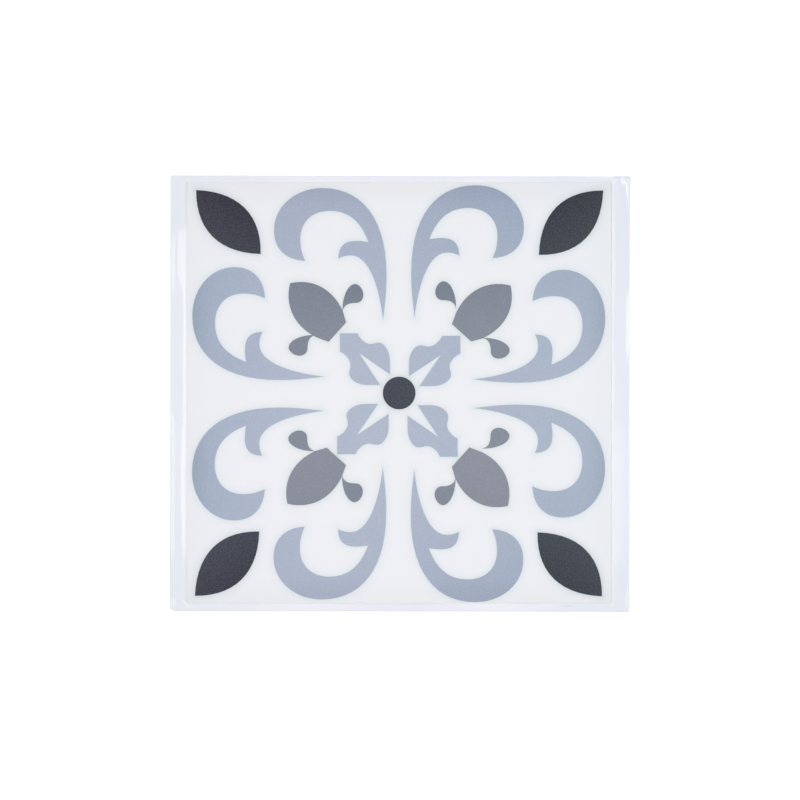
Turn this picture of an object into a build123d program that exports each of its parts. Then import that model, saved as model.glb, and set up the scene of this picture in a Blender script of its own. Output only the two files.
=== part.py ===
"""Peel-and-stick vinyl floor tile, lying face up on the release liner that it is sold on.

The tile is one thin sheet of printed vinyl with a clear wear film, cut square with small round corners.
The cut presses the wear film down all round, so the face ends in a low sloping land.
The liner is a thin glossy sheet, a few millimetres larger than the tile on every side.
It lies flat under the tile, and its free left and right margins curl up along a bend beside the tile.

Millimetres, +Z up, +X to the right and +Y away from the viewer.
The origin is the centre of the liner's flat underside, which lies on the floor.
"""

import os
from math import atan, cos, radians, sin

from build123d import *

# Tile
tile_width = 200.0  # along X
tile_depth = 198.2  # along Y
tile_thickness = 0.4  # printed vinyl, adhesive and wear film together
tile_corner_radius = 0.8
cut_land = 0.45  # how far in from the cut the wear film slopes
cut_drop = 0.12  # how far it slopes down
tile_skew = 0.12  # degrees that the tile is turned on its liner

# Liner
liner_thickness = 0.18
margin_left = 7.5
margin_right = 8.6
margin_front = 3.85
margin_back = 3.0
liner_corner_radius = 0.5
worn_corner_radius = 2.2  # the front left corner, rubbed round
bend_gap = 0.6  # flat strip between the tile's edge and the bend of a margin

# Lift of a margin's outer edge at even stations, from the front of the liner to its back
left_lifts = (0.12, 0.3, 0.22, 0.4, 0.12)
right_lifts = (0.25, 0.35, 0.2, 0.3, 0.6)

liner_width = margin_left + tile_width + margin_right
liner_depth = margin_front + tile_depth + margin_back
half_width = liner_width / 2
half_depth = liner_depth / 2
tile_x = (margin_left - margin_right) / 2
tile_y = (margin_front - margin_back) / 2
turn = radians(tile_skew)
tile_reach = tile_width / 2 * cos(turn) + tile_depth / 2 * sin(turn)
bed_left = tile_x - tile_reach - bend_gap
bed_right = tile_x + tile_reach + bend_gap
clear_height = max(left_lifts + right_lifts) + 2 * liner_thickness  # over the highest curl

# Corners of the liner, from the front left one round to the back left one, and their radii
liner_corners = (
    (-half_width, -half_depth),
    (half_width, -half_depth),
    (half_width, half_depth),
    (-half_width, half_depth),
)
corner_radii = (worn_corner_radius, liner_corner_radius, liner_corner_radius, liner_corner_radius)


def margin_section(bend_x, edge_x, lift, station_y):
    """Sketches a margin's curled section: an arc that leaves the flat bed level and rises to its lift."""
    run = edge_x - bend_x
    end_slope = 2 * atan(lift / abs(run))
    outward = 1 if run > 0 else -1
    top_edge_x = edge_x - outward * liner_thickness * sin(end_slope)
    top_edge_z = lift + liner_thickness * cos(end_slope)
    with BuildSketch(Plane.XZ.offset(-station_y)) as section:
        with BuildLine():
            TangentArc((bend_x, 0), (edge_x, lift), tangent=(outward, 0))
            Line((edge_x, lift), (top_edge_x, top_edge_z))
            TangentArc((bend_x, liner_thickness), (top_edge_x, top_edge_z), tangent=(outward, 0))
            Line((bend_x, liner_thickness), (bend_x, 0))
        make_face()
    return section.sketch


def curled_margin(bend_x, edge_x, lifts):
    """Lofts one margin through its sections, from the front of the liner to its back."""
    spacing = liner_depth / (len(lifts) - 1)
    stations = [index * spacing - half_depth for index in range(len(lifts))]
    loft([margin_section(bend_x, edge_x, lift, station) for lift, station in zip(lifts, stations)])


with BuildPart() as release_liner:
    with BuildSketch():
        with Locations(((bed_left + bed_right) / 2, 0)):
            Rectangle(bed_right - bed_left, liner_depth)
    extrude(amount=liner_thickness)
    curled_margin(bed_left, -half_width - liner_thickness, left_lifts)
    curled_margin(bed_right, half_width + liner_thickness, right_lifts)
    with BuildSketch():
        with BuildLine():
            FilletPolyline(*liner_corners, radius=corner_radii, close=True)
        make_face()
    extrude(amount=clear_height, mode=Mode.INTERSECT)

tile_seat = Plane(origin=(tile_x, tile_y, liner_thickness), x_dir=(cos(turn), sin(turn), 0), z_dir=(0, 0, 1))
with BuildPart() as vinyl_tile:
    with BuildSketch(tile_seat):
        RectangleRounded(tile_width, tile_depth, tile_corner_radius)
    extrude(amount=tile_thickness)
    face = vinyl_tile.faces().sort_by(Axis.Z)[-1]
    chamfer(face.edges(), length=cut_land, length2=cut_drop, reference=face)

release_liner.part.label = "release_liner"
vinyl_tile.part.label = "vinyl_tile"

os.makedirs("parts", exist_ok=True)
export_step(release_liner.part, "parts/release_liner.step")
export_step(vinyl_tile.part, "parts/vinyl_tile.step")

for piece in (release_liner, vinyl_tile):
    size = piece.part.bounding_box().size
    print(f"{piece.part.label}: {size.X:.2f} x {size.Y:.2f} x {size.Z:.2f} mm, {piece.part.volume:.0f} mm3")
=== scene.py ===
import math

import bmesh
import bpy
from mathutils import Matrix, Vector
from mathutils.bvhtree import BVHTree


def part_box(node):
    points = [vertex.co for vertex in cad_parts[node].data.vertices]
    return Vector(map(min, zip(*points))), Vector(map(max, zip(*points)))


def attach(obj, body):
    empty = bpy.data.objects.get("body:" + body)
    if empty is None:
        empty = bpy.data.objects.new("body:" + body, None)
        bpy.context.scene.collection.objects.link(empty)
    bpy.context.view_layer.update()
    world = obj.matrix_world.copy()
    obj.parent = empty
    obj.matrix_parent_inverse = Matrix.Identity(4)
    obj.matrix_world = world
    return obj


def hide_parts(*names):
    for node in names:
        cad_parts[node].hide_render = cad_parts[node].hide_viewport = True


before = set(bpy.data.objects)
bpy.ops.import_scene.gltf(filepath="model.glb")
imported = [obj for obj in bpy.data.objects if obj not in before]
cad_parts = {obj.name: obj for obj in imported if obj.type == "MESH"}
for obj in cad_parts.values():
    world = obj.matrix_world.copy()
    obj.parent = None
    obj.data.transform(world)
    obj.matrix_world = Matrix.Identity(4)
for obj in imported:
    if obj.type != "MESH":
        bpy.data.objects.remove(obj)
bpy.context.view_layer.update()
mm = 0.001

tileLow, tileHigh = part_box("vinyl_tile")
linerLow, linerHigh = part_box("release_liner")
tileCentre = (tileLow + tileHigh) / 2
tileTurn = math.radians(0.12)  # the tile lies a little askew on its liner
tileHalfWidth = 100.0 * mm
tileHalfDepth = 99.1 * mm
faceHeight = tileHigh.z
print("frame loaded, tile face at", round(faceHeight / mm, 3), "mm")


def addObject(name, data):
    holder = bpy.data.objects.new(name, data)
    bpy.context.scene.collection.objects.link(holder)
    return holder


# Camera, straight above, turned with the tile
cameraFacts = {
    "focal": 85.0,  # mm
    "sensor": 36.0,  # mm
    "frameWidth": 376.2 * mm,  # how much of the floor the picture takes in
    "aim": (0.15 * mm, -2.975 * mm),
}


def placeCamera(facts):
    lens = bpy.data.cameras.new("camera")
    lens.lens = facts["focal"]
    lens.sensor_width = facts["sensor"]
    lens.clip_start = 0.01
    camera = addObject("camera", lens)
    distance = facts["frameWidth"] * facts["focal"] / facts["sensor"]
    camera.location = (*facts["aim"], faceHeight + distance)
    camera.rotation_euler = (0, 0, tileTurn)
    bpy.context.scene.camera = camera


placeCamera(cameraFacts)
bpy.context.scene.view_settings.view_transform = "Standard"
print("camera placed")


# Small helpers for node trees
def addNode(tree, kind, place, **settings):
    node = tree.nodes.new(kind)
    node.location = place
    for name, value in settings.items():
        setattr(node, name, value)
    return node


def newMaterial(name):
    material = bpy.data.materials.new(name)
    material.use_nodes = True
    material.node_tree.nodes.clear()
    return material, material.node_tree


def feed(tree, socket, value):
    # A socket gets a link from another socket, or a plain value
    if isinstance(value, bpy.types.NodeSocket):
        tree.links.new(value, socket)
    else:
        socket.default_value = value


def calc(tree, place, operation, *values):
    node = addNode(tree, "ShaderNodeMath", place, operation=operation)
    for socket, value in zip(node.inputs, values):
        feed(tree, socket, value)
    return node.outputs["Value"]


def vectorCalc(tree, place, operation, *values):
    node = addNode(tree, "ShaderNodeVectorMath", place, operation=operation)
    for socket, value in zip(node.inputs, values):
        feed(tree, socket, value)
    return node.outputs["Vector"]


def length(tree, place, vector):
    node = addNode(tree, "ShaderNodeVectorMath", place, operation="LENGTH")
    tree.links.new(vector, node.inputs[0])
    return node.outputs["Value"]


def scaled(tree, place, vector, factor):
    node = addNode(tree, "ShaderNodeVectorMath", place, operation="SCALE")
    feed(tree, node.inputs["Vector"], vector)
    feed(tree, node.inputs["Scale"], factor)
    return node.outputs["Vector"]


def eased(tree, place, value, low, high, atLow, atHigh):
    # Smooth change from one value to another, held beyond both ends
    node = addNode(tree, "ShaderNodeMapRange", place, interpolation_type="SMOOTHSTEP")
    settings = {"Value": value, "From Min": low, "From Max": high, "To Min": atLow, "To Max": atHigh}
    for name, setting in settings.items():
        feed(tree, node.inputs[name], setting)
    return node.outputs["Result"]


def mixed(tree, place, share, first, second, blend="MIX"):
    node = addNode(tree, "ShaderNodeMix", place, data_type="RGBA", blend_type=blend)
    for name, value in {"Factor": share, "A": first, "B": second}.items():
        feed(tree, node.inputs[name], value)
    return node.outputs["Result"]


def noise(tree, place, vector, pitch, detail):
    node = addNode(tree, "ShaderNodeTexNoise", place)
    node.inputs["Scale"].default_value = 1 / pitch
    node.inputs["Detail"].default_value = detail
    tree.links.new(vector, node.inputs["Vector"])
    return node.outputs["Fac"]


def bump(tree, place, height, depth):
    node = addNode(tree, "ShaderNodeBump", place)
    node.inputs["Distance"].default_value = depth
    tree.links.new(height, node.inputs["Height"])
    return node


# Vinyl: printed film under a clear, finely embossed wear film
vinylLook = {
    # Each colour at the tile's centre, its change over the drift span to the right and to the back, its
    # change at that span out towards the sides and the ends, and how it darkens near the sides and near
    # the ends. The skew is a change that differs in sign between neighbouring scrolls. The drops are a
    # little darker than the buds.
    "ground": {
        "centre": (0.837, 0.863, 0.898),
        "right": (0.006, 0.013, 0.012),
        "back": (-0.001, -0.001, -0.002),
        "sides": (0.009, 0.011, 0.013),
        "ends": (0.014, 0.009, 0.011),
        "border": (0.985, 0.972),
    },
    "charcoal": {
        "centre": (0.044, 0.052, 0.071),
        "right": (0.002, 0.006, 0.004),
        "back": (-0.004, -0.005, -0.006),
        "sides": (0.031, 0.035, 0.04),
        "ends": (-0.043, -0.051, -0.059),
        "border": (1, 1),
    },
    "grey": {
        "centre": (0.243, 0.267, 0.323),
        "right": (0.015, 0.017, 0.016),
        "back": (-0.037, -0.033, -0.035),
        "sides": (0.011, 0.018, 0.007),
        "ends": (-0.115, -0.107, -0.114),
        "drops": (0.905, 0.93, 0.94),
        "border": (1, 1),
    },
    "blueGrey": {
        "centre": (0.416, 0.474, 0.585),
        "right": (-0.018, -0.007, -0.01),
        "back": (-0.012, -0.012, -0.011),
        "sides": (-0.041, -0.027, -0.023),
        "ends": (-0.047, -0.049, -0.043),
        "skew": (-0.043, -0.038, -0.034),
        "border": (0.9, 0.93),
    },
    "driftSpan": 100 * mm,
    # Light and dark grains: grain of the print, and partly painted glints of the embossed film
    "speckleAndGlints": {"ground": 0.0, "charcoal": 0.044, "grey": 0.055, "blueGrey": 0.075},
    "specklePitch": 0.7 * mm,
    # How far the lightness wanders over a few millimetres
    "mottle": {"ground": 0.01, "charcoal": 0.03, "grey": 0.03, "blueGrey": 0.03},
    "mottlePitch": 7 * mm,
    "roughness": 0.42,
    "specular": 0.25,
    "grainPitch": 0.9 * mm,
    "grainDepth": 0.03 * mm,
    "pebblePitch": 2.6 * mm,
    "pebbleDepth": 0.03 * mm,
    "borderReach": (3 * mm, 13 * mm),  # how far in from the cut the darker border goes
    "dropsFrom": (15 * mm, 21 * mm),  # how far off the diagonals the darker grey of the drops begins
    # Painted shade along each cut of the ground, a thin darker line, and painted light where its tone is
    # over 1:
    # how far in its middle is, half its width, its tone along the middle of the edge and its tone near the
    # corners
    "edgeShades": {
        "left": (0.3 * mm, 0.6 * mm, 0.947, 0.89),
        "right": (0.3 * mm, 0.45 * mm, 1.02, 1.01),
        "front": (0.3 * mm, 0.5 * mm, 0.975, 0.985),
        "back": (0.5 * mm, 0.5 * mm, 0.99, 0.99),
    },
    "edgeShadeFade": (0.5, 1.2),  # from its middle, in shares of half its width
    "cornerReach": (72 * mm, 84 * mm),  # from the middle of an edge, where its tone goes over
}


def vinylMaterial(name, tone, look):
    color = look[tone]
    material, tree = newMaterial(name)
    output = addNode(tree, "ShaderNodeOutputMaterial", (1400, 0))
    shader = addNode(tree, "ShaderNodeBsdfPrincipled", (1100, 0))
    shader.inputs["Roughness"].default_value = look["roughness"]
    shader.inputs["Specular IOR Level"].default_value = look["specular"]
    shader.inputs["IOR"].default_value = 1.5

    # Coordinates from the tile's centre, turned with it
    place = addNode(tree, "ShaderNodeTexCoord", (-1700, 0))
    onTile = addNode(tree, "ShaderNodeMapping", (-1500, 0), vector_type="TEXTURE")
    onTile.inputs["Location"].default_value = (tileCentre.x, tileCentre.y, 0)
    onTile.inputs["Rotation"].default_value = (0, 0, tileTurn)
    parts = addNode(tree, "ShaderNodeSeparateXYZ", (-1300, 100))
    tree.links.new(place.outputs["Object"], onTile.inputs["Vector"])
    point = onTile.outputs["Vector"]
    tree.links.new(point, parts.inputs["Vector"])
    x, y = parts.outputs["X"], parts.outputs["Y"]

    # The colour changes a little over the tile
    xPart = calc(tree, (-1100, 400), "DIVIDE", x, look["driftSpan"])
    yPart = calc(tree, (-1100, 250), "DIVIDE", y, look["driftSpan"])
    xSquare = calc(tree, (-900, 400), "MULTIPLY", xPart, xPart)
    ySquare = calc(tree, (-900, 250), "MULTIPLY", yPart, yPart)
    tint = color["centre"]
    changes = {"right": xPart, "back": yPart, "sides": xSquare, "ends": ySquare}
    if "skew" in color:
        lean = calc(tree, (-900, 550), "SUBTRACT", ySquare, xSquare)
        changes["skew"] = calc(tree, (-700, 550), "MULTIPLY", xPart, lean)
    for index, (change, amount) in enumerate(changes.items()):
        tint = vectorCalc(tree, (-700 + 180 * index, 450), "MULTIPLY_ADD", amount, color[change], tint)
    if "drops" in color:
        width = calc(tree, (-1100, -250), "ABSOLUTE", x)
        depth = calc(tree, (-1100, -400), "ABSOLUTE", y)
        aside = calc(tree, (-700, -300), "ABSOLUTE", calc(tree, (-900, -300), "SUBTRACT", width, depth))
        share = eased(tree, (-500, -300), aside, *look["dropsFrom"], 0, 1)
        tint = mixed(tree, (-300, -300), share, tint, (*color["drops"], 1), "MULTIPLY")
    wander = noise(tree, (-1100, 50), point, look["mottlePitch"], 3)
    mottle = look["mottle"][tone]
    level = calc(tree, (-500, 200), "MULTIPLY_ADD", wander, 2 * mottle, 1 - mottle)
    for axis, (across, half) in enumerate(((x, tileHalfWidth), (y, tileHalfDepth))):
        row = 700 + 200 * axis
        inward = calc(tree, (-900, row), "SUBTRACT", half, calc(tree, (-1100, row), "ABSOLUTE", across))
        border = eased(tree, (-700, row), inward, *look["borderReach"], color["border"][axis], 1)
        level = calc(tree, (-500, row), "MULTIPLY", level, border)
    if tone == "ground":
        # Painted shade in a thin line along each cut, and painted light along the right one
        near, far = look["edgeShadeFade"]
        edges = {
            "left": (x, y, 1, tileHalfWidth),
            "right": (x, y, -1, tileHalfWidth),
            "front": (y, x, 1, tileHalfDepth),
            "back": (y, x, -1, tileHalfDepth),
        }
        for index, (edge, (across, alongside, sign, half)) in enumerate(edges.items()):
            middle, reach, middleShade, cornerShade = look["edgeShades"][edge]
            row = 1200 + 150 * index
            toCorner = calc(tree, (-1300, row), "ABSOLUTE", alongside)
            shade = eased(tree, (-1100, row + 60), toCorner, *look["cornerReach"], middleShade, cornerShade)
            offset = calc(tree, (-1100, row), "MULTIPLY_ADD", across, sign, half - middle)
            distance = calc(tree, (-900, row), "ABSOLUTE", offset)
            line = eased(tree, (-700, row), distance, near * reach, far * reach, shade, 1)
            level = calc(tree, (-500, row), "MULTIPLY", level, line)
    shaded = scaled(tree, (100, 300), tint, level)
    if tone == "ground":
        # Painted shade: what the neighbouring inks take from the light in the film
        filmShade = addNode(tree, "ShaderNodeAttribute", (100, 600), attribute_name="filmShade")
        kept = vectorCalc(tree, (300, 600), "SUBTRACT", (1, 1, 1), filmShade.outputs["Color"])
        shaded = vectorCalc(tree, (500, 400), "MULTIPLY", shaded, kept)
    # Grain of the print with painted glints of the embossing, added to the colour
    grains = noise(tree, (-500, 0), point, look["specklePitch"], 2)
    grain = look["speckleAndGlints"][tone]
    speckleAndGlints = calc(tree, (-300, 0), "MULTIPLY_ADD", grains, 2 * grain, -grain)
    grained = vectorCalc(tree, (800, 200), "ADD", shaded, speckleAndGlints)
    tree.links.new(grained, shader.inputs["Base Color"])

    # Embossing: fine grain over a broader pebble
    pebble = noise(tree, (300, -350), point, look["pebblePitch"], 1)
    pebbleBump = bump(tree, (600, -350), pebble, look["pebbleDepth"])
    fine = noise(tree, (300, -150), point, look["grainPitch"], 2)
    grainBump = bump(tree, (850, -200), fine, look["grainDepth"])
    tree.links.new(pebbleBump.outputs["Normal"], grainBump.inputs["Normal"])
    tree.links.new(grainBump.outputs["Normal"], shader.inputs["Normal"])
    tree.links.new(shader.outputs["BSDF"], output.inputs["Surface"])
    return material


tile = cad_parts["vinyl_tile"]
groundVinyl = vinylMaterial("groundVinyl", "ground", vinylLook)
tile.data.materials.clear()
tile.data.materials.append(groundVinyl)
print("tile dressed")


# The printed ornament. Outlines are drawn for the back right quarter, in mm from the tile's centre.
# An anchor is its place, its handle before and its handle after; a handle of (0, 0) starts a straight run.
straight = (0, 0)

scroll = [
    ((7.4, 35.2), (1.3, 12), (-1, 8.5)),
    ((5.8, 56.2), (0, -8), (-0.1, 26.8)),
    ((36.1, 97.2), (-18.5, 0), (12.6, 0)),
    ((58.8, 77.4), (0, 11.2), (0, -9.4)),
    ((44.1, 63), (8.3, 0.3), (1.6, 3.5)),
    ((46.4, 73.3), (0, -4), (0, 6.9)),
    ((32.4, 86.5), (9.7, 0), (-11, 0)),
    ((14.3, 71.9), (2.5, 6.5), (1.8, 0.2)),
    ((20, 72.4), (-2, 0), (6, 0)),
    ((28.4, 64.1), (0, 5.5), (-1.5, 1)),
    ((22.6, 65.6), (2, 0), (-9.6, 0)),
]
drop = [
    ((26.7, 38.7), (-0.4, 3.9), (0.3, 7.4)),
    ((20.8, 52), (3.2, 0), (-1.9, 0)),
    ((16.9, 46.9), (0, 2.5), (0, -2.2)),
    ((20.3, 43.1), (-2, 0), (2.6, 0)),
]

# Halves of the motifs that are mirrored about the quarter's diagonal
leafHalf = [
    ((65.2, 65.2), straight, (-0.1, 19.65)),
    ((95.45, 95.45), (-19.1, -0.15), straight),
]
budHalf = [
    ((24.9, 33.6), straight, straight),
    ((26.7, 39.2), straight, (4.6, 9.8)),
    ((51.5, 51.5), (-11.0, 2.8), straight),
]
tulipHalf = [
    ((28.3, 28.3), straight, straight),
    ((19.8, 28.3), straight, (-0.9, -2.6)),
    ((13.7, 23.3), (2.2, 0), (-1.5, 0)),
    ((9.8, 23.9), (1.5, 0), (-3, 0)),
    ((4.4, 15.5), (0, 4.1), (0, -2.5)),
    ((4.4, 9.2), (0, 2.0), straight),
    ((19.1, 19.1), straight, straight),
]
dotRadius = 7.68

# Shift, turn and stretch say how far each set of copies is printed off the tile's centre, in mm, in degrees
# and as a factor. Before a motif is copied, fit stretches and slips it about its own middle, and nudge moves
# single anchors.
motifs = {
    "scroll": {
        "ink": "blueGrey",
        "outline": scroll,
        "mirrored": True,
        "shift": (0.08, 0.2),
        "mirrorShift": (0.06, -1.11),
        "turn": -0.027,
        "stretch": (0.999, 1.002),
    },
    "tulip": {
        "ink": "blueGrey",
        "half": tulipHalf,
        "fit": {
            "middle": (16.5, 16.5),
            "rows": ((1.012, -0.003), (0.005, 0.98)),
            "slip": (0.5, -0.5),
        },
        "shift": (0.11, -1.08),
        "turn": 0.1,
        "stretch": (1.002, 1.006),
    },
    "bud": {
        "ink": "grey",
        "half": budHalf,
        "fit": {
            "middle": (38, 38),
            "rows": ((1.01, 0.017), (0.009, 0.999)),
            "slip": (0, 0),
        },
        "nudge": {0: (-0.2, -0.2), 4: (0.3, 0.28)},
        "shift": (0.22, -0.87),
        "turn": -0.5,
        "stretch": (1.002, 1.002),
    },
    "drop": {
        "ink": "grey",
        "outline": drop,
        "mirrored": True,
        "shift": (0.24, 0.48),
        "mirrorShift": (0.22, -0.86),
        "turn": -0.1,
        "lower": 0.003,  # mm, since its stem can lap a bud
    },
    "leaf": {
        "ink": "charcoal",
        "half": leafHalf,
        "fit": {
            "middle": (80.5, 80.5),
            "rows": ((0.965, 0.028), (-0.013, 1.017)),
            "slip": (0, 0),
        },
        "shift": (0.26, -0.19),
        "turn": -0.165,
        "stretch": (1.003, 1),
    },
    "dot": {"ink": "charcoal", "radius": dotRadius, "quarters": 1, "shift": (0.29, -0.11)},
}
inkFilm = {
    "proud": 0.015 * mm,  # how far the ink stands over the ground
    "sunk": 0.03 * mm,  # how far it reaches into the tile
    "resolution": 14,  # steps along each stretch of an outline
    "skew": 0.001,  # the whole print is a very little lozenge shaped
}


def mirroredOutline(half):
    # Anchors on the diagonal are shared by both halves
    def flipped(pair):
        return (pair[1], pair[0])

    def onDiagonal(anchor):
        return anchor[0][0] == anchor[0][1]

    outline = list(half)
    otherHalf = [
        (flipped(place), flipped(after), flipped(before))
        for place, before, after in reversed(half)
    ]
    if onDiagonal(half[0]):
        place, before, after = half[0]
        outline[0] = (place, flipped(after), after)
        otherHalf.pop()
    if onDiagonal(half[-1]):
        place, before, after = half[-1]
        outline[-1] = (place, before, flipped(before))
        otherHalf.pop(0)
    return outline + otherHalf


def fitted(outline, fit):
    # Moves anchors and turns handles; a straight handle stays straight
    (a, b), (c, d) = fit["rows"]
    middle, slip = fit["middle"], fit["slip"]

    def turned(pair):
        return (a * pair[0] + b * pair[1], c * pair[0] + d * pair[1])

    def moved(place):
        x, y = turned((place[0] - middle[0], place[1] - middle[1]))
        return (middle[0] + x + slip[0], middle[1] + y + slip[1])

    return [(moved(place), turned(before), turned(after)) for place, before, after in outline]


def roundOutline(radius):
    reach = radius * 4 / 3 * (math.sqrt(2) - 1)  # handle length of a quarter circle
    outline = []
    for quarter in range(4):
        angle = quarter * math.pi / 2
        outward = Vector((math.cos(angle), math.sin(angle)))
        along = Vector((-outward.y, outward.x))
        outline.append((tuple(outward * radius), tuple(along * -reach), tuple(along * reach)))
    return outline


def outlineCurve(name, outline):
    curve = bpy.data.curves.new(name, "CURVE")
    curve.dimensions = "3D"
    curve.resolution_u = inkFilm["resolution"]
    spline = curve.splines.new("BEZIER")
    spline.bezier_points.add(len(outline) - 1)
    spline.use_cyclic_u = True
    for point, (place, before, after) in zip(spline.bezier_points, outline):
        point.co = (place[0] * mm, place[1] * mm, 0)
        point.handle_left_type = "VECTOR" if before == straight else "FREE"
        point.handle_right_type = "VECTOR" if after == straight else "FREE"
        if before != straight:
            point.handle_left = ((place[0] + before[0]) * mm, (place[1] + before[1]) * mm, 0)
        if after != straight:
            point.handle_right = ((place[0] + after[0]) * mm, (place[1] + after[1]) * mm, 0)
    return addObject(name, curve)


def motifTree():
    tree = bpy.data.node_groups.new("motifCopies", "GeometryNodeTree")
    sockets = {
        "Outline": "NodeSocketGeometry",
        "Quarters": "NodeSocketInt",
        "Mirrored": "NodeSocketBool",
        "Turn": "NodeSocketVector",
        "Shift": "NodeSocketVector",
        "Mirror Shift": "NodeSocketVector",
        "Stretch": "NodeSocketVector",
        "Thickness": "NodeSocketFloat",
        "Seat": "NodeSocketVector",
        "Seat Turn": "NodeSocketVector",
        "Ink": "NodeSocketMaterial",
    }
    for name, kind in sockets.items():
        tree.interface.new_socket(name, in_out="INPUT", socket_type=kind)
    tree.interface.new_socket("Print", in_out="OUTPUT", socket_type="NodeSocketGeometry")
    source = addNode(tree, "NodeGroupInput", (-1400, 0))
    result = addNode(tree, "NodeGroupOutput", (1900, 0))

    # A closed sheet of ink from the outline
    fill = addNode(tree, "GeometryNodeFillCurve", (-1150, 100))
    back = addNode(tree, "GeometryNodeFlipFaces", (-900, 250))
    rise = addNode(tree, "GeometryNodeExtrudeMesh", (-900, 0), mode="FACES")
    rise.inputs["Individual"].default_value = False
    upward = addNode(tree, "ShaderNodeCombineXYZ", (-1150, -150))
    sheet = addNode(tree, "GeometryNodeJoinGeometry", (-650, 100))
    welded = addNode(tree, "GeometryNodeMergeByDistance", (-450, 100))
    welded.inputs["Distance"].default_value = 0.001 * mm
    tree.links.new(source.outputs["Outline"], fill.inputs["Curve"])
    tree.links.new(source.outputs["Thickness"], upward.inputs["Z"])
    tree.links.new(fill.outputs["Mesh"], back.inputs["Mesh"])
    tree.links.new(fill.outputs["Mesh"], rise.inputs["Mesh"])
    tree.links.new(upward.outputs["Vector"], rise.inputs["Offset"])
    rise.inputs["Offset Scale"].default_value = 1
    tree.links.new(back.outputs["Mesh"], sheet.inputs["Geometry"])
    tree.links.new(rise.outputs["Mesh"], sheet.inputs["Geometry"])
    tree.links.new(sheet.outputs["Geometry"], welded.inputs["Geometry"])

    # One copy for each quarter, turned about the centre
    points = addNode(tree, "GeometryNodePoints", (-450, -150))
    index = addNode(tree, "GeometryNodeInputIndex", (-650, -350))
    step = addNode(tree, "ShaderNodeMath", (-650, -450), operation="DIVIDE")
    step.inputs[0].default_value = math.tau
    angle = addNode(tree, "ShaderNodeMath", (-450, -350), operation="MULTIPLY")
    turned = addNode(tree, "ShaderNodeCombineXYZ", (-250, -350))
    spin = addNode(tree, "FunctionNodeEulerToRotation", (-50, -350))
    copies = addNode(tree, "GeometryNodeInstanceOnPoints", (150, 100))
    tree.links.new(source.outputs["Quarters"], points.inputs["Count"])
    tree.links.new(source.outputs["Quarters"], step.inputs[1])
    tree.links.new(index.outputs["Index"], angle.inputs[0])
    tree.links.new(step.outputs["Value"], angle.inputs[1])
    tree.links.new(angle.outputs["Value"], turned.inputs["Z"])
    tree.links.new(turned.outputs["Vector"], spin.inputs["Euler"])
    tree.links.new(points.outputs["Points"], copies.inputs["Points"])
    tree.links.new(welded.outputs["Geometry"], copies.inputs["Instance"])
    tree.links.new(spin.outputs["Rotation"], copies.inputs["Rotation"])

    # The same again, mirrored about the diagonal
    mirror = addNode(tree, "GeometryNodeTransform", (-250, 350))
    mirror.inputs["Scale"].default_value = (-1, 1, 1)
    mirror.inputs["Rotation"].default_value = (0, 0, -math.pi / 2)
    mirrorCopies = addNode(tree, "GeometryNodeInstanceOnPoints", (150, 350))
    chosen = addNode(tree, "GeometryNodeSwitch", (350, 350), input_type="GEOMETRY")
    tree.links.new(welded.outputs["Geometry"], mirror.inputs["Geometry"])
    tree.links.new(points.outputs["Points"], mirrorCopies.inputs["Points"])
    tree.links.new(mirror.outputs["Geometry"], mirrorCopies.inputs["Instance"])
    tree.links.new(spin.outputs["Rotation"], mirrorCopies.inputs["Rotation"])
    tree.links.new(source.outputs["Mirrored"], chosen.inputs["Switch"])
    tree.links.new(mirrorCopies.outputs["Instances"], chosen.inputs["True"])

    # Each set is printed a little off the centre, and the whole is seated on the tile
    setTurn = addNode(tree, "FunctionNodeEulerToRotation", (350, -150))
    printed = addNode(tree, "GeometryNodeTransform", (600, 100))
    printedMirror = addNode(tree, "GeometryNodeTransform", (600, 350))
    both = addNode(tree, "GeometryNodeJoinGeometry", (850, 200))
    seatTurn = addNode(tree, "FunctionNodeEulerToRotation", (850, -100))
    seated = addNode(tree, "GeometryNodeTransform", (1100, 200))
    real = addNode(tree, "GeometryNodeRealizeInstances", (1350, 200))
    inked = addNode(tree, "GeometryNodeSetMaterial", (1600, 200))
    tree.links.new(source.outputs["Turn"], setTurn.inputs["Euler"])
    tree.links.new(copies.outputs["Instances"], printed.inputs["Geometry"])
    tree.links.new(chosen.outputs["Output"], printedMirror.inputs["Geometry"])
    tree.links.new(source.outputs["Shift"], printed.inputs["Translation"])
    tree.links.new(source.outputs["Mirror Shift"], printedMirror.inputs["Translation"])
    for moved in (printed, printedMirror):
        tree.links.new(setTurn.outputs["Rotation"], moved.inputs["Rotation"])
        tree.links.new(source.outputs["Stretch"], moved.inputs["Scale"])
        tree.links.new(moved.outputs["Geometry"], both.inputs["Geometry"])
    tree.links.new(source.outputs["Seat Turn"], seatTurn.inputs["Euler"])
    tree.links.new(both.outputs["Geometry"], seated.inputs["Geometry"])
    tree.links.new(source.outputs["Seat"], seated.inputs["Translation"])
    tree.links.new(seatTurn.outputs["Rotation"], seated.inputs["Rotation"])
    tree.links.new(seated.outputs["Geometry"], real.inputs["Geometry"])
    tree.links.new(real.outputs["Geometry"], inked.inputs["Geometry"])
    tree.links.new(source.outputs["Ink"], inked.inputs["Material"])
    tree.links.new(inked.outputs["Geometry"], result.inputs["Print"])
    return tree


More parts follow.
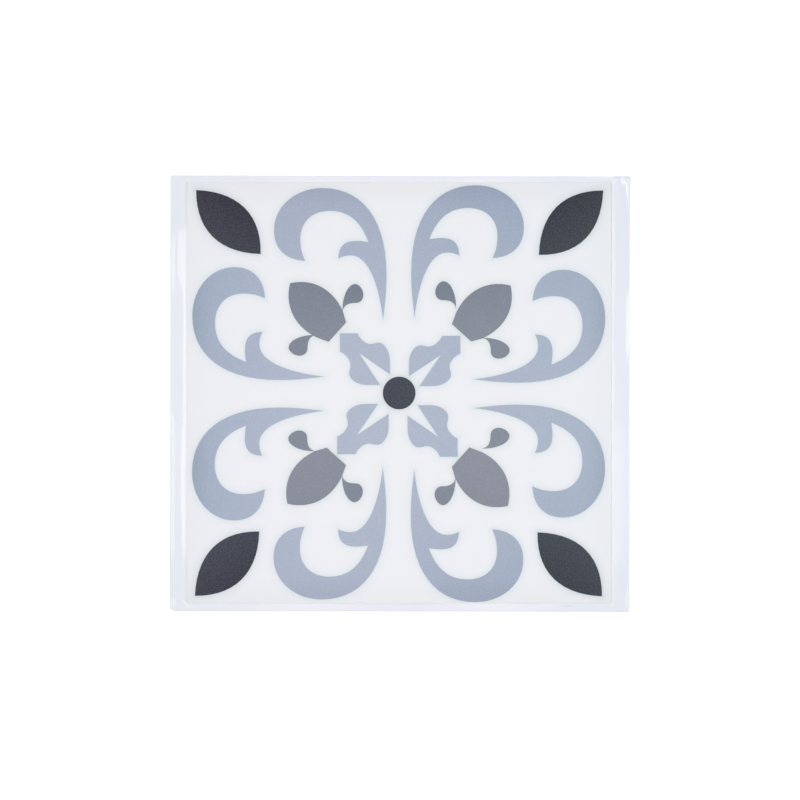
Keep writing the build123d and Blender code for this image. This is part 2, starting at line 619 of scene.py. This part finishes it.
def motifMesh(name, motif, tree, ink):
    if "half" in motif:
        outline = mirroredOutline(motif["half"])
    elif "radius" in motif:
        outline = roundOutline(motif["radius"])
    else:
        outline = motif["outline"]
    if "fit" in motif:
        outline = fitted(outline, motif["fit"])
    for index, (right, back) in motif.get("nudge", {}).items():
        (x, y), before, after = outline[index]
        outline[index] = ((x + right, y + back), before, after)
    holder = outlineCurve(name, outline)
    modifier = holder.modifiers.new("copies", "NODES")
    modifier.node_group = tree
    shift = motif.get("shift", (0, 0))
    mirrorShift = motif.get("mirrorShift", (0, 0))
    values = {
        "Quarters": motif.get("quarters", 4),
        "Mirrored": motif.get("mirrored", False),
        "Turn": (0.0, 0.0, math.radians(motif.get("turn", 0))),
        "Shift": (shift[0] * mm, shift[1] * mm, 0.0),
        "Mirror Shift": (mirrorShift[0] * mm, mirrorShift[1] * mm, 0.0),
        "Stretch": (*motif.get("stretch", (1, 1)), 1.0),
        "Thickness": inkFilm["proud"] + inkFilm["sunk"] - motif.get("lower", 0) * mm,
        "Seat": (tileCentre.x, tileCentre.y, faceHeight - inkFilm["sunk"]),
        "Seat Turn": (0.0, 0.0, tileTurn),
        "Ink": ink,
    }
    for item in tree.interface.items_tree:
        if item.in_out == "INPUT" and item.name in values:
            modifier[item.identifier] = values[item.name]
    evaluated = holder.evaluated_get(bpy.context.evaluated_depsgraph_get())
    mesh = bpy.data.meshes.new_from_object(evaluated)
    bpy.data.objects.remove(holder)
    return mesh


def printInks():
    tree = motifTree()
    skew = Matrix.Identity(4)
    skew[0][1] = skew[1][0] = inkFilm["skew"]
    centre = Matrix.Translation((tileCentre.x, tileCentre.y, 0))
    lozenge = centre @ skew @ centre.inverted()
    names = {"charcoal": "print_charcoal", "grey": "print_grey", "blueGrey": "print_blue_grey"}
    printed = {}
    for ink, pieceName in names.items():
        material = vinylMaterial(ink + "Ink", ink, vinylLook)
        joined = bmesh.new()
        for name, motif in motifs.items():
            if motif["ink"] == ink:
                joined.from_mesh(motifMesh(name, motif, tree, material))
        bmesh.ops.recalc_face_normals(joined, faces=joined.faces)
        joined.transform(lozenge)
        mesh = bpy.data.meshes.new(pieceName)
        joined.to_mesh(mesh)
        joined.free()
        mesh.materials.clear()
        mesh.materials.append(material)
        piece = addObject(pieceName, mesh)
        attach(piece, "root")
        printed[ink] = mesh
        print(pieceName, "printed with", len(mesh.polygons), "faces")
    return printed


inks = printInks()


# The white base print. Light spreads in the film, so the white is dimmer close to an ink: painted shade.
whiteFilm = {
    "inset": 0.6 * mm,  # from the tile's edges
    "pitch": 1.0 * mm,
    "proud": 0.006 * mm,
    "sunk": 0.03 * mm,
    # The light that is lost right beside each ink, how fast that fades, and where it ends
    "loss": {"charcoal": (0.225, 0.18, 0.18), "grey": (0.178, 0.124, 0.14), "blueGrey": (0.16, 0.097, 0.1)},
    "fade": 1.3 * mm,
    "reach": (3 * mm, 5 * mm),
}


def inkTrees(mesh):
    # The upright faces round the motifs, to measure how far a place is from their outlines, and all faces
    points = [vertex.co.copy() for vertex in mesh.vertices]
    upright = [tuple(face.vertices) for face in mesh.polygons if abs(face.normal.z) < 0.5]
    whole = [tuple(face.vertices) for face in mesh.polygons]
    return BVHTree.FromPolygons(points, upright), BVHTree.FromPolygons(points, whole)


def lostLight(point, trees, facts):
    kept = [1.0, 1.0, 1.0]
    nearEnd, farEnd = facts["reach"]
    for ink, (outline, whole) in trees.items():
        distance = outline.find_nearest(point, farEnd)[3]
        if distance is None:
            continue
        above = Vector((point.x, point.y, point.z + mm))
        if whole.ray_cast(above, (0, 0, -1), 2 * mm)[0]:
            distance = max(-distance, -facts["pitch"])  # under the ink
        part = min(max((farEnd - distance) / (farEnd - nearEnd), 0.0), 1.0)
        strength = math.exp(-distance / facts["fade"]) * part * part * (3 - 2 * part)
        kept = [share * (1 - loss * strength) for share, loss in zip(kept, facts["loss"][ink])]
    return [1 - share for share in kept]


def whiteFilmMesh(facts, trees):
    halfWidth = tileHalfWidth - facts["inset"]
    halfDepth = tileHalfDepth - facts["inset"]
    columns = round(2 * halfWidth / facts["pitch"])
    rows = round(2 * halfDepth / facts["pitch"])
    seat = Matrix.Translation((tileCentre.x, tileCentre.y, faceHeight)) @ Matrix.Rotation(tileTurn, 4, "Z")
    points, losses = [], []
    for row in range(rows + 1):
        for column in range(columns + 1):
            x = (2 * column / columns - 1) * halfWidth
            y = (2 * row / rows - 1) * halfDepth
            losses += [*lostLight(seat @ Vector((x, y, 0)), trees, facts), 1.0]
            points.append(seat @ Vector((x, y, facts["proud"])))
    wide = columns + 1
    faces = []
    for row in range(rows):
        for column in range(columns):
            first = row * wide + column
            faces.append((first, first + 1, first + wide + 1, first + wide))

    # Four corners below, four long sides and the underside close the sheet
    below = len(points)
    for right, back in ((-1, -1), (1, -1), (1, 1), (-1, 1)):
        points.append(seat @ Vector((right * halfWidth, back * halfDepth, -facts["sunk"])))
        losses += [0.0, 0.0, 0.0, 1.0]
    last = rows * wide
    faces.append((below, below + 1, *range(columns, -1, -1)))
    faces.append((below + 1, below + 2, *range(last + columns, columns - 1, -wide)))
    faces.append((below + 2, below + 3, *range(last, last + wide)))
    faces.append((below + 3, below, *range(0, last + 1, wide)))
    faces.append((below + 3, below + 2, below + 1, below))
    mesh = bpy.data.meshes.new("print_white")
    mesh.from_pydata(points, [], faces)
    mesh.attributes.new("filmShade", "FLOAT_COLOR", "POINT").data.foreach_set("color", losses)
    return mesh


whiteMesh = whiteFilmMesh(whiteFilm, {ink: inkTrees(mesh) for ink, mesh in inks.items()})
white = addObject("print_white", whiteMesh)
white.data.materials.append(groundVinyl)
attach(white, "root")
print("print_white laid with", len(white.data.polygons), "faces")


# Release liner: one glossy sheet, flat under the tile, with wavy free margins
liner = {
    "thickness": 0.18 * mm,
    "cornerRadius": 0.5 * mm,
    "wornRadius": 2.2 * mm,  # front left corner
    "marginColumns": 40,
    "bedColumns": 12,
    "rows": 320,
    "crowding": 0.3,  # how much closer the rows are towards the front and back, where the corners are round
    "sharpAngle": 50,  # degrees, past which an edge stays crisp
    # Along each side, by mm behind the liner's centre. The rise beside the tile has a slope in degrees and
    # a run in mm, and so has the fold of the outer edge. The curl has a height and a run, both in mm.
    "left": {
        "start": -0.35 * mm,  # where the rise begins, from the tile's edge
        "rise": (
            (-102, 0.3, 2.3), (-83, 0.5, 2.3), (-75, 2.7, 2.3), (-66, 3.0, 2.6), (-46, 2.9, 3.2),
            (-24, 2.9, 3.2), (-12, 2.75, 2.2), (47, 2.75, 2.2), (56, 3.1, 5.2), (71, 3.15, 5.3),
            (76, 2.8, 5.3), (80, 0.5, 4.0), (102, 0.2, 2.3),
        ),
        "fold": (
            (-102, 0.3, 2.4), (-82, 0.3, 2.4), (-76, 3.35, 2.7), (-14, 3.35, 2.7), (-8, 0.8, 2.2),
            (46, 0.8, 2.2), (50, 3.15, 2.8), (73, 3.15, 2.8), (80, 0.3, 2.0), (102, 0.3, 2.0),
        ),
        "curl": ((-102, 0.03, 2.4), (102, 0.03, 2.4)),
    },
    "right": {
        "start": 0.05 * mm,
        "rise": (
            (-102, 2.0, 1.9), (-83, 1.9, 2.1), (-76, 1.9, 8.0), (-19, 1.9, 8.0), (-12, 1.9, 2.1),
            (10, 1.9, 2.0), (22, 1.75, 1.6), (42, 1.75, 1.6), (52, 1.85, 2.3), (102, 1.9, 2.3),
        ),
        "fold": (
            (-80, 0, 0.6), (-70, 2.6, 0.6), (-27, 2.6, 0.6), (-5, 0, 0.6), (15, 0, 2.2), (19, 3.3, 2.2),
            (44, 3.3, 2.2), (48, 0, 2.2),
        ),
        "curl": (
            (-102, 0.03, 1.6), (-98, 0.13, 2.8), (-94, 0.13, 2.8), (-90, 0.03, 1.6), (15, 0.03, 1.6),
            (19, 0, 1.6), (44, 0, 1.6), (48, 0.03, 1.6), (86, 0.03, 1.6), (90, 0.07, 2.2), (94, 0.13, 2.7),
            (97.5, 0.155, 3.2), (100.5, 0.275, 3.8), (102, 0.275, 3.8),
        ),
    },
    "riseEnds": (0.12 * mm, 0.25),  # how soon the slope begins, and the share of its run over which it ends
    "foldStart": 0.3,  # share of the fold's run over which it bends
    "curlCorner": 6 * mm,  # how roundly the fold and the curl go round a corner
    "cornerTip": 1 * mm,  # how far they go on rising beyond that round
    "curlTail": 5 * mm,  # how far past the corner they fade
}


def riseHeight(along, run, slope, facts):
    # A slope that starts soon, stays straight and fades over the last part of its run
    start, fadeShare = facts["riseEnds"]
    fade = run * fadeShare
    along = min(along, run)
    height = along - start / 2 if along > start else along * along / (2 * start)
    if along > run - fade:
        height -= (along - run + fade) ** 2 / (2 * fade)
    return height * math.tan(math.radians(slope))


def foldHeight(fromEdge, run, slope, facts):
    # Bends at the inner end of its run and goes straight on to the edge
    bend = run * facts["foldStart"]
    along = max(run - fromEdge, 0.0)
    height = along - bend / 2 if along > bend else along * along / (2 * bend)
    return height * math.tan(math.radians(slope))


def alongEdge(stations, y):
    # Smooth change of two values through stations along an edge
    for (low, *before), (high, *after) in zip(stations, stations[1:]):
        if y <= high * mm:
            break
    part = min(max((y / mm - low) / (high - low), 0.0), 1.0)
    ease = part * part * (3 - 2 * part)
    return [first + (second - first) * ease for first, second in zip(before, after)]


def linerHeight(x, y, facts):
    height = 0.0
    for side, bend, edge in (
        (facts["left"], tileCentre.x - tileHalfWidth, linerLow.x),
        (facts["right"], tileCentre.x + tileHalfWidth, linerHigh.x),
    ):
        outward = 1 if edge > bend else -1
        along = (x - bend) * outward - side["start"]
        if along > 0:
            slope, run = alongEdge(side["rise"], y)
            height += riseHeight(along, run * mm, slope, facts)

        # Distance from the outer edge, measured round the corner and a little way past it
        corner = facts["curlCorner"]
        fromSide = max((edge - x) * outward, 0.0)
        fromEnd = max(min(y - linerLow.y, linerHigh.y - y), 0.0)
        if fromSide > corner + facts["curlTail"]:
            continue
        fromEdge, share = fromSide, 1.0
        if fromEnd < corner:
            fromEdge = corner - math.hypot(corner - min(fromSide, corner), corner - fromEnd)
            fromEdge = max(fromEdge, -facts["cornerTip"])
            part = max(fromSide - corner, 0.0) / facts["curlTail"]
            share = 1 - part * part * (3 - 2 * part)
        slope, run = alongEdge(side["fold"], y)
        height += share * foldHeight(fromEdge, run * mm, slope, facts)
        curlHeight, curlRun = alongEdge(side["curl"], y)
        curl = max(0.0, 1 - fromEdge / (curlRun * mm))
        height += share * curlHeight * mm * curl * curl
    return height


def cornerInset(distance, radius):
    # How far a round corner pulls the edge in, at a distance from its end
    if distance >= radius:
        return 0.0
    return radius - math.sqrt(radius * radius - (radius - distance) ** 2)


def linerMesh(facts):
    rows, crowding = facts["rows"], facts["crowding"]
    depths = [0.5 - 0.5 * math.cos(math.pi * row / rows) for row in range(rows + 1)]
    depths = [(1 - crowding) * row / rows + crowding * depth for row, depth in enumerate(depths)]
    margin = facts["marginColumns"]
    bed = facts["bedColumns"]
    bendLeft = tileCentre.x - tileHalfWidth
    bendRight = tileCentre.x + tileHalfWidth
    layers = {"top": [], "bottom": []}
    mesh = bmesh.new()
    for depth in depths:
        y = linerLow.y + depth * (linerHigh.y - linerLow.y)
        fromFront = y - linerLow.y
        fromBack = linerHigh.y - y
        left = linerLow.x + max(
            cornerInset(fromFront, facts["wornRadius"]), cornerInset(fromBack, facts["cornerRadius"])
        )
        right = linerHigh.x - cornerInset(min(fromFront, fromBack), facts["cornerRadius"])
        across = [left + (bendLeft - left) * column / margin for column in range(margin)]
        across += [bendLeft + (bendRight - bendLeft) * column / bed for column in range(bed)]
        across += [bendRight + (right - bendRight) * column / margin for column in range(margin + 1)]
        for layer, lift in (("top", facts["thickness"]), ("bottom", 0.0)):
            layers[layer].append([mesh.verts.new((x, y, linerHeight(x, y, facts) + lift)) for x in across])
    top, bottom = layers["top"], layers["bottom"]
    columns = len(top[0])
    for row in range(rows):
        for column in range(columns - 1):
            a, b = top[row][column], top[row][column + 1]
            c, d = top[row + 1][column + 1], top[row + 1][column]
            mesh.faces.new((a, b, c, d))
            a, b = bottom[row][column], bottom[row][column + 1]
            c, d = bottom[row + 1][column + 1], bottom[row + 1][column]
            mesh.faces.new((d, c, b, a))
    for row in range(rows):
        for column in (0, columns - 1):
            ring = (bottom[row][column], bottom[row + 1][column], top[row + 1][column], top[row][column])
            mesh.faces.new(ring)
    for row in (0, rows):
        for column in range(columns - 1):
            ring = (bottom[row][column], bottom[row][column + 1], top[row][column + 1], top[row][column])
            mesh.faces.new(ring)
    bmesh.ops.recalc_face_normals(mesh, faces=mesh.faces)
    result = bpy.data.meshes.new("liner_sheet")
    mesh.to_mesh(result)
    mesh.free()
    result.shade_smooth()
    result.set_sharp_from_angle(angle=math.radians(facts["sharpAngle"]))
    return result


linerLook = {
    "left": (0.831, 0.861, 0.932),
    "right": (0.834, 0.875, 0.97),
    "leftGloss": (1.0, 0.9, 0.78),  # tint of its reflections
    "rightGloss": (1.0, 0.9, 0.5),
    "mottle": 0.008,
    "mottlePitch": 11 * mm,
    "roughness": 0.12,
    "ripplePitch": 7 * mm,
    "rippleDepth": 0.01 * mm,
    "edgeShadeWidth": (0.42 * mm, 0.7 * mm),  # the painted shade along the front edge fades between these
    "edgeShadeTint": (0.95, 0.932, 0.905),
    "markFade": (0.55, 1.1),  # in shares of an ellipse's half sizes
    # Small marks, most of them painted shadows, shade, highlights and sheen: an ellipse's place and half
    # sizes in mm, its turn in degrees and its tint
    "marks": {
        # painted shadow of a small gap under the tile's front edge
        "gapShadow": ((79.2, -99.67), (4.4, 0.3), 0, (0.8, 0.81, 0.83)),
        # painted highlight on that lifted edge
        "gapGlint": ((79.2, -99.15), (4.2, 0.24), 0, (1.13, 1.11, 1.05)),
        "cornerSheen": ((-99.5, -100.1), (2.4, 1.2), 0, (1.03, 1.01, 1.02)),
        # painted shade along the crease of the front left corner
        "creaseShade": ((-102.8, -98.9), (3.2, 0.32), -42, (0.963, 0.968, 0.98)),
        # painted highlight on the crease's ridge
        "creaseHighlight": ((-100.75, -98.6), (1.9, 0.45), -47, (1.085, 1.075, 1.05)),
        # painted highlight in front of the tile's front left corner
        "frontGlint": ((-97.9, -100.5), (3.2, 0.35), -16, (1.035, 1.04, 1.025)),
        # painted highlight along the left rim near the front corner
        "cornerRimHighlight": ((-106.3, -98.9), (1.5, 3.4), 0.12, (1.05, 1.05, 1.03)),
        # painted contact shadow in front of the tile
        "frontContactShadow": ((-0.34, -98.92), (104, 0.62), 0.12, (0.958, 0.952, 0.925)),
        # painted light, lifting the shade beside the tile's right edge
        "rightContactLight": ((99.7, 0.6), (0.5, 104), 0.12, (1.045, 1.055, 1.035)),
        # painted contact shadow beside the tile's left edge
        "leftContactShadow": ((-100.8, -52), (0.26, 40), 0.12, (0.95, 0.95, 0.955)),
        # painted shade along the back edge near the right corner
        "backEdgeShade": ((104.5, 101.8), (5.5, 0.4), 0.12, (0.93, 0.935, 0.95)),
        # painted highlights on the curled back right corner, standing in for its reflection of the lamps
        "cornerCurlHighlight": ((106.7, 95.75), (0.4, 3.4), 7, (1.17, 1.15, 1.125)),
        "curlHookHighlight": ((105.3, 99.5), (1.5, 0.42), -24, (1.17, 1.15, 1.125)),
        "frontSheen": ((-4.5, -100.9), (62, 2.6), 0.12, (0.993, 0.978, 0.99)),
        # two faint lighter lines on the back left margin
        "paleLines": ((-107.3, 92.5), (0.25, 10.5), 0.12, (1.025, 1.022, 1.02)),
        "paleLinesInner": ((-105.7, 92.5), (0.25, 10.5), 0.12, (1.022, 1.02, 1.018)),
    },
}


def linerMaterial(look):
    material, tree = newMaterial("linerFilm")
    output = addNode(tree, "ShaderNodeOutputMaterial", (1100, 0))
    shader = addNode(tree, "ShaderNodeBsdfPrincipled", (800, 0))
    shader.inputs["Roughness"].default_value = look["roughness"]
    shader.inputs["IOR"].default_value = 1.5
    place = addNode(tree, "ShaderNodeTexCoord", (-1300, 0))
    parts = addNode(tree, "ShaderNodeSeparateXYZ", (-1100, 100))
    point = place.outputs["Object"]
    tree.links.new(point, parts.inputs["Vector"])
    x, y = parts.outputs["X"], parts.outputs["Y"]

    # Film colour, a little cooler to the right
    toRight = eased(tree, (-800, 400), x, -tileHalfWidth, tileHalfWidth, 0, 1)
    tint = mixed(tree, (-500, 400), toRight, (*look["left"], 1), (*look["right"], 1))
    gloss = mixed(tree, (500, 500), toRight, (*look["leftGloss"], 1), (*look["rightGloss"], 1))
    tree.links.new(gloss, shader.inputs["Specular Tint"])
    wander = noise(tree, (-800, 150), point, look["mottlePitch"], 2)
    level = calc(tree, (-500, 150), "MULTIPLY_ADD", wander, 2 * look["mottle"], 1 - look["mottle"])
    shaded = scaled(tree, (-200, 300), tint, level)
    # Painted shade along the rolled-down front edge
    fromFront = calc(tree, (-800, 0), "SUBTRACT", y, linerLow.y)
    cut = eased(tree, (-500, 0), fromFront, *look["edgeShadeWidth"], 1, 0)
    shares = {"cut": (cut, look["edgeShadeTint"])}
    # The marks tint the film colour: painted shadows, shade and highlights among them
    for index, (mark, (middle, half, turn, color)) in enumerate(look["marks"].items()):
        row = -200 - 300 * index
        onMark = addNode(tree, "ShaderNodeMapping", (-900, row), vector_type="TEXTURE")
        onMark.inputs["Location"].default_value = (middle[0] * mm, middle[1] * mm, 0)
        onMark.inputs["Rotation"].default_value = (0, 0, math.radians(turn))
        onMark.inputs["Scale"].default_value = (half[0] * mm, half[1] * mm, 1)
        tree.links.new(point, onMark.inputs["Vector"])
        away = length(tree, (-700, row), onMark.outputs["Vector"])
        shares[mark] = (eased(tree, (-500, row), away, *look["markFade"], 1, 0), color)
    for index, (share, color) in enumerate(shares.values()):
        shaded = mixed(tree, (-200 + 180 * index, 0), share, shaded, (*color, 1), "MULTIPLY")
    tree.links.new(shaded, shader.inputs["Base Color"])

    wave = noise(tree, (200, -250), point, look["ripplePitch"], 1)
    ripple = bump(tree, (500, -200), wave, look["rippleDepth"])
    tree.links.new(ripple.outputs["Normal"], shader.inputs["Normal"])
    tree.links.new(shader.outputs["BSDF"], output.inputs["Surface"])
    return material


linerSheet = addObject("liner_sheet", linerMesh(liner))
linerSheet.data.materials.append(linerMaterial(linerLook))
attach(linerSheet, "root")
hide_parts("release_liner")
print("liner laid with", len(linerSheet.data.polygons), "faces")


# Floor, world and lamps
stageLook = {
    "floorSize": 6.0,  # metres
    "floorColor": (0.82, 0.82, 0.82, 1),
    "floorGlow": 0.36,  # lifts the floor to white in the picture, with its shadows kept
    "farGlow": 1.0,
    "farReach": (0.5, 1.5),  # where the floor goes over from the one glow to the other
    "horizonGlow": 0.25,  # added to the world where the camera sees it
    "ambient": 0.35,
}
lampFacts = {
    # Tilt from straight up in degrees, distance and size across and along in metres, and radiance
    "leftBox": {"tilt": -42, "distance": 3.0, "size": (1.85, 2.1), "radiance": 4.4},
    "rightBox": {"tilt": 42, "distance": 3.0, "size": (1.85, 2.1), "radiance": 2.3},
    "leftStrip": {"tilt": -4.66, "distance": 1.4, "size": (0.08, 0.49), "radiance": 4.1},
    "rightStrip": {"tilt": 4.66, "distance": 1.4, "size": (0.08, 0.49), "radiance": 4.4},
}
# A soft pool of light on the middle, out of the mirrored rays so that it leaves no glint
poolFacts = {
    "height": 1.4,
    "cone": 12.9,
    "power": 7.0,
    "radius": 0.03,
    "color": (1.0, 0.72, 0.75),
    "aim": (0.004, -0.01),
}


def seenShares(tree):
    # What the camera sees directly, and that with what it sees in a reflection or through something clear
    path = addNode(tree, "ShaderNodeLightPath", (-700, -200))
    direct = path.outputs["Is Camera Ray"]
    reflected = calc(tree, (-450, -200), "ADD", direct, path.outputs["Is Glossy Ray"])
    seen = addNode(tree, "ShaderNodeMath", (-250, -200), operation="ADD", use_clamp=True)
    tree.links.new(reflected, seen.inputs[0])
    tree.links.new(path.outputs["Is Transmission Ray"], seen.inputs[1])
    return direct, seen.outputs["Value"]


def layFloor(look):
    material, tree = newMaterial("floor")
    output = addNode(tree, "ShaderNodeOutputMaterial", (600, 0))
    matte = addNode(tree, "ShaderNodeBsdfDiffuse", (0, 100))
    matte.inputs["Color"].default_value = look["floorColor"]
    glow = addNode(tree, "ShaderNodeEmission", (150, -150))
    total = addNode(tree, "ShaderNodeAddShader", (400, 0))
    place = addNode(tree, "ShaderNodeTexCoord", (-700, -450))
    away = length(tree, (-450, -450), place.outputs["Object"])
    glowHere = eased(tree, (-250, -450), away, *look["farReach"], look["floorGlow"], look["farGlow"])
    seen = seenShares(tree)[1]
    tree.links.new(calc(tree, (-50, -200), "MULTIPLY", seen, glowHere), glow.inputs["Strength"])
    tree.links.new(matte.outputs["BSDF"], total.inputs[0])
    tree.links.new(glow.outputs["Emission"], total.inputs[1])
    tree.links.new(total.outputs["Shader"], output.inputs["Surface"])
    half = look["floorSize"] / 2
    mesh = bpy.data.meshes.new("floor")
    corners = [(-half, -half, 0), (half, -half, 0), (half, half, 0), (-half, half, 0)]
    mesh.from_pydata(corners, [], [(0, 1, 2, 3)])
    mesh.materials.append(material)
    floor = addObject("floor", mesh)


def lightWorld(look):
    world = bpy.data.worlds.new("world")
    bpy.context.scene.world = world
    world.use_nodes = True
    tree = world.node_tree
    tree.nodes.clear()
    output = addNode(tree, "ShaderNodeOutputWorld", (600, 0))
    background = addNode(tree, "ShaderNodeBackground", (300, 0))
    direct, seen = seenShares(tree)
    strength = calc(tree, (0, 0), "MULTIPLY_ADD", seen, 1 - look["ambient"], look["ambient"])
    lifted = calc(tree, (150, 150), "MULTIPLY_ADD", direct, look["horizonGlow"], strength)
    tree.links.new(lifted, background.inputs["Strength"])
    tree.links.new(background.outputs["Background"], output.inputs["Surface"])


def hangLamps(lamps):
    for name, facts in lamps.items():
        tilt = math.radians(facts["tilt"])
        across, along = facts["size"]
        light = bpy.data.lights.new(name, "AREA")
        light.shape = "RECTANGLE"
        light.size = across
        light.size_y = along
        light.energy = facts["radiance"] * math.pi * across * along
        lamp = addObject(name, light)
        lamp.location = (math.sin(tilt) * facts["distance"], 0, math.cos(tilt) * facts["distance"])
        lamp.rotation_euler = (0, tilt, 0)


def hangPool(facts):
    light = bpy.data.lights.new("pool", "SPOT")
    light.spot_size = math.radians(facts["cone"])
    light.spot_blend = 1
    light.shadow_soft_size = facts["radius"]
    light.energy = facts["power"]
    light.color = facts["color"]
    lamp = addObject("pool", light)
    lamp.location = (*facts["aim"], facts["height"])
    lamp.visible_glossy = False


layFloor(stageLook)
lightWorld(stageLook)
hangLamps(lampFacts)
hangPool(poolFacts)
print("stage lit")
